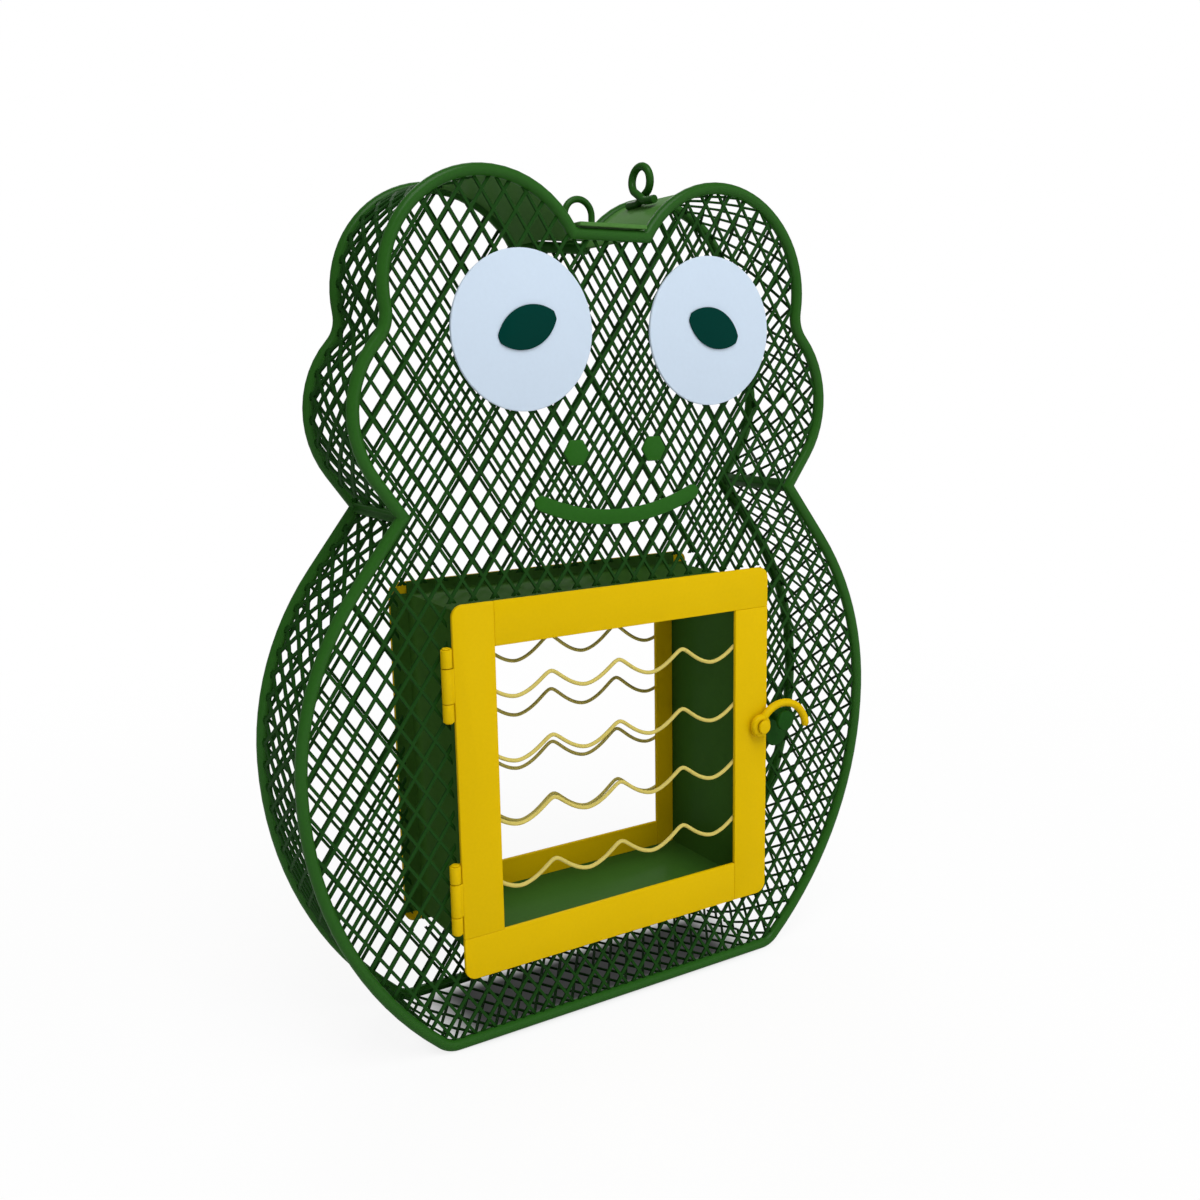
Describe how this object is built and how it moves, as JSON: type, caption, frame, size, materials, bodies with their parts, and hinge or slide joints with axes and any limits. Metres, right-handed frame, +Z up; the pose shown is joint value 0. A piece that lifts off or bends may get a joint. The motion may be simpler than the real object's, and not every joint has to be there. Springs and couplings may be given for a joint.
{
  "type": "frog bird feeder",
  "caption": "Flat mesh bird feeder shaped like a frog, with a latched door over a suet box in its belly, a lid over the seed space and a loop to hang it by.",
  "frame": {"origin": "middle of the front rim's foot line: x = 0 is the middle of the face, y = 0 the centre plane of the front rim wire, z = 0 the surface that the two rims stand on", "axes": "+Z up, the face and door look along -Y, +X to the right as seen from the front"},
  "size_m": [0.234, 0.0608, 0.3],
  "materials": {
    "mesh_green": "dark green powder coat on expanded steel mesh",
    "rim_green": "mid green powder coat, semi gloss",
    "face_green": "mid green powder coat, satin",
    "eye_white": "pale blue-white paint, satin",
    "pupil_teal": "dark teal paint, satin",
    "box_green": "dark green powder coat on folded sheet, semi gloss",
    "frame_yellow": "yellow powder coat on flat bar, semi gloss",
    "wire_yellow": "pale yellow powder coat on wire, semi gloss"
  },
  "bodies": {
    "feeder_body": {"front_mesh": "mesh_green", "back_mesh": "mesh_green", "bottom_mesh": "mesh_green", "head_band_left": "mesh_green", "head_band_right": "mesh_green", "body_band_left": "mesh_green", "body_band_right": "mesh_green", "front_rim": "rim_green", "back_rim": "rim_green", "neck_strip_left": "rim_green", "neck_strip_right": "rim_green", "head_sheet_left": "rim_green", "head_sheet_right": "rim_green", "lid_hinge_knuckles": "rim_green", "lid_hinge_pin": "rim_green", "hanger_right": "rim_green", "nostril_left": "face_green", "nostril_right": "face_green", "mouth": "face_green", "latch_catch": "face_green", "eye_left": "eye_white", "eye_right": "eye_white", "pupil_left": "pupil_teal", "pupil_right": "pupil_teal", "suet_box": "box_green", "back_bar_left": "frame_yellow", "back_bar_top": "frame_yellow", "back_bar_right": "frame_yellow", "back_bar_bottom": "frame_yellow", "upper_hinge_box_leaf": "frame_yellow", "upper_hinge_pin": "frame_yellow", "lower_hinge_box_leaf": "frame_yellow", "lower_hinge_pin": "frame_yellow", "back_wire_1": "wire_yellow", "back_wire_2": "wire_yellow", "back_wire_3": "wire_yellow", "back_wire_4": "wire_yellow"},
    "door": {"door_bar_left": "frame_yellow", "door_bar_top": "frame_yellow", "door_bar_right": "frame_yellow", "door_bar_bottom": "frame_yellow", "door_wire_1": "wire_yellow", "door_wire_2": "wire_yellow", "door_wire_3": "wire_yellow", "door_wire_4": "wire_yellow", "upper_hinge_door_leaf": "frame_yellow", "lower_hinge_door_leaf": "frame_yellow", "latch_rivet": "frame_yellow"},
    "latch": {"latch_hook": "frame_yellow"},
    "lid": {"lid_plate": "rim_green", "lid_pull_ring": "rim_green"}
  },
  "joints": [
    {"name": "door_hinge", "type": "hinge", "parent": "feeder_body", "child": "door", "pos_m": [-0.0664, -0.0032, 0.0911], "axis": [0, 0, -1], "range_deg": [0, 165]},
    {"name": "latch_pivot", "type": "hinge", "parent": "door", "child": "latch", "pos_m": [0.06, -0.0064, 0.0953], "axis": [0, -1, 0], "range_deg": [-17, 100]},
    {"name": "lid_hinge", "type": "hinge", "parent": "feeder_body", "child": "lid", "pos_m": [0, 0.041, 0.2764], "axis": [-1, 0, 0], "range_deg": [0, 100]}
  ]
}
